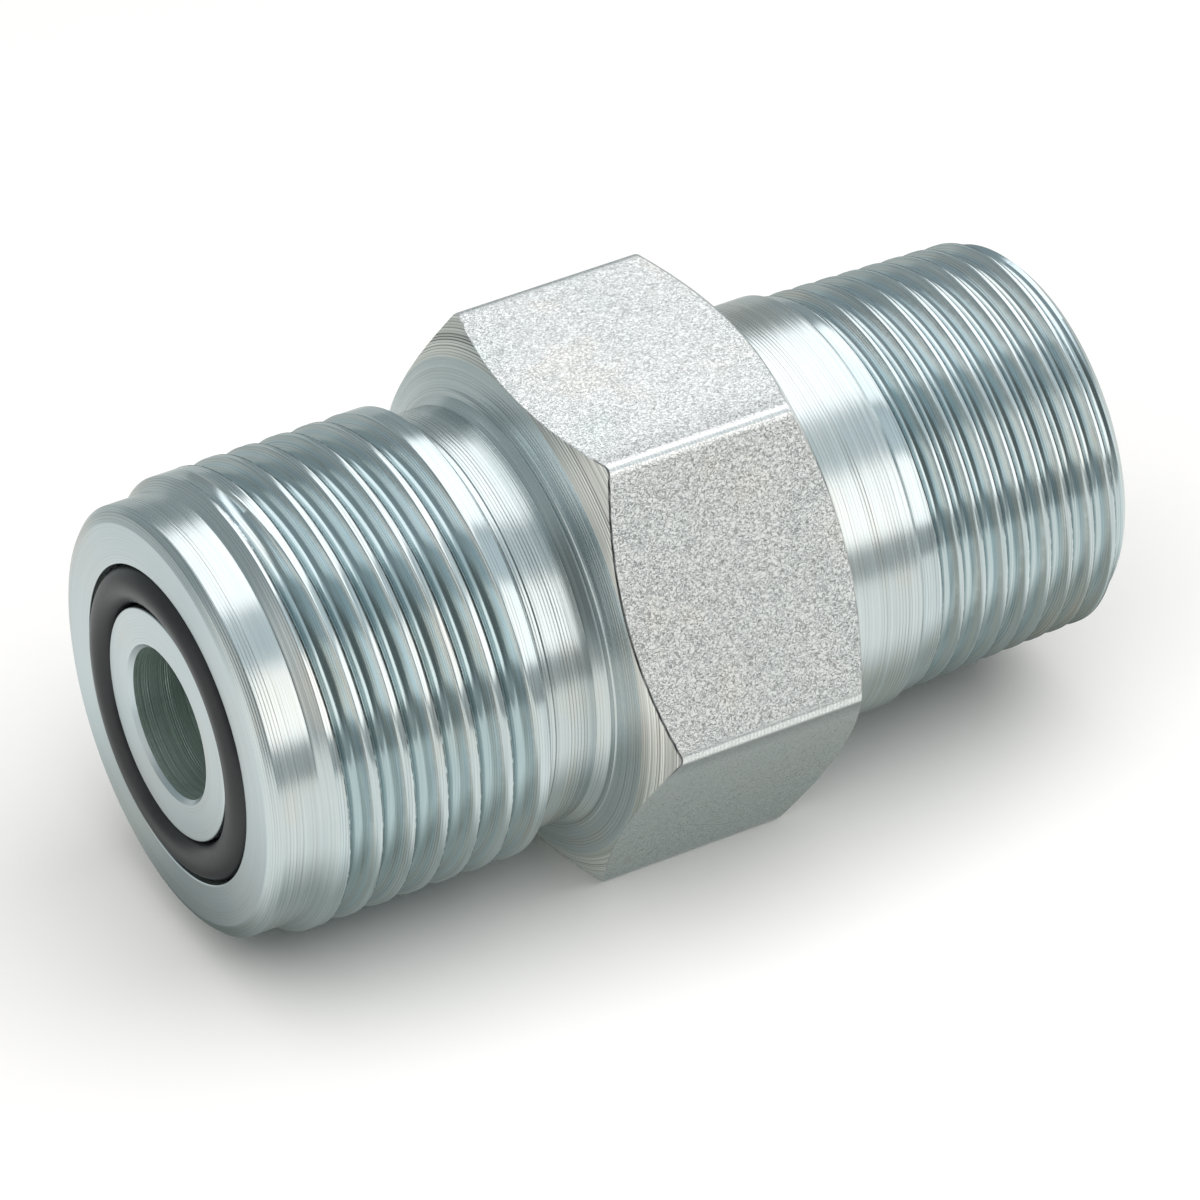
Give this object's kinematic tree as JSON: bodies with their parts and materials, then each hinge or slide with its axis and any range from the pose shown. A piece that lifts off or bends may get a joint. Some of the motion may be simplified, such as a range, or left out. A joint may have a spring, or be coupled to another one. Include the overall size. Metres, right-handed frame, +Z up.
{
  "type": "O-ring face seal to tapered pipe thread straight adapter",
  "caption": "Straight steel tube fitting with a hexagon, an O-ring face seal thread, a tapered pipe thread and a through bore.",
  "frame": {"origin": "on the bore axis, in the plane of the seal face", "axes": "+X along the bore, from the seal face towards the pipe thread; +Z up, square to a hexagon flat"},
  "size_m": [0.0441, 0.0262, 0.0228],
  "materials": {
    "plated_steel": "zinc plated, turned, satin, with a slight blue tint",
    "rubber": "black satin"
  },
  "bodies": {
    "root": {"fitting_body": "plated_steel", "o_ring": "rubber"}
  },
  "joints": []
}
